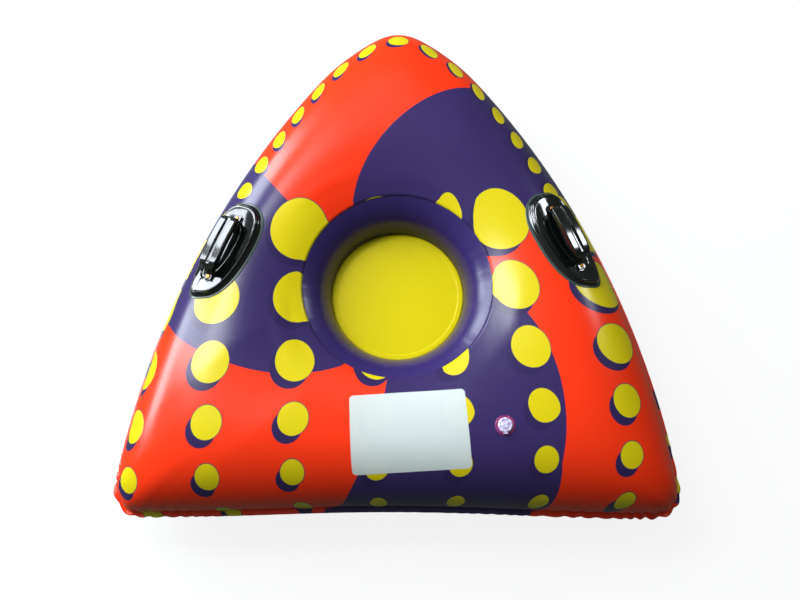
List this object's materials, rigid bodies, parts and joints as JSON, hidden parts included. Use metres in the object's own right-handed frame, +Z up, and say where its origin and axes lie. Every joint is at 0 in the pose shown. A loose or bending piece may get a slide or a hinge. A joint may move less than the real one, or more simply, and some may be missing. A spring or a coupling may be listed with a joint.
{
  "type": "snow tube",
  "caption": "Triangular inflatable snow tube of welded vinyl sheet, with a round seat well, moulded side grab handles and a flush inflation valve.",
  "frame": {"origin": "on the snow, under the middle of the overall box", "axes": "+Z up, +Y towards the nose, +X to the right of a rider who faces the nose"},
  "size_m": [1.1098, 1.072, 0.2648],
  "materials": {
    "printed_vinyl": "orange-red ground print on satin vinyl sheet",
    "plain_vinyl": "plain purple vinyl sheet",
    "wall_vinyl": "plain dark purple vinyl sheet",
    "floor_vinyl": "plain yellow vinyl sheet",
    "patch_vinyl": "soft black weld ring",
    "black_moulding": "polished black moulding",
    "rivet_brass": "plain brass",
    "flange_vinyl": "tinted soft vinyl",
    "valve_vinyl": "clear soft vinyl",
    "flap_vinyl": "clear soft vinyl"
  },
  "bodies": {
    "tube": {"top_panel": "printed_vinyl", "bottom_panel": "plain_vinyl", "seat_wall_upper": "wall_vinyl", "seat_wall_lower": "wall_vinyl", "seat_floor": "floor_vinyl", "valve_flange": "flange_vinyl", "left_handle_patch": "patch_vinyl", "left_handle_base": "black_moulding", "left_handle_grip": "black_moulding", "left_handle_rivet_nose": "rivet_brass", "left_handle_rivet_tail": "rivet_brass", "right_handle_patch": "patch_vinyl", "right_handle_base": "black_moulding", "right_handle_grip": "black_moulding", "right_handle_rivet_nose": "rivet_brass", "right_handle_rivet_tail": "rivet_brass"},
    "valve_stem": {"valve_stem": "valve_vinyl"},
    "valve_cap": {"valve_cap": "valve_vinyl"},
    "valve_check_flap": {"valve_check_flap": "flap_vinyl"}
  },
  "joints": [
    {"name": "valve_pull_out", "type": "slide", "parent": "tube", "child": "valve_stem", "axis": [0, 0, 1], "range_m": [0, 0.016]},
    {"name": "cap_hinge", "type": "hinge", "parent": "valve_stem", "child": "valve_cap", "pos_m": [0.20227, -0.3859, 0.24196], "axis": [1, 0, 0], "range_deg": [0, 150]},
    {"name": "flap_hinge", "type": "hinge", "parent": "valve_stem", "child": "valve_check_flap", "pos_m": [0.20227, -0.3588, 0.21296], "axis": [1, 0, 0], "range_deg": [0, 60], "stiffness_Nm_per_rad": 0.00025, "springref_deg": -28.65}
  ]
}
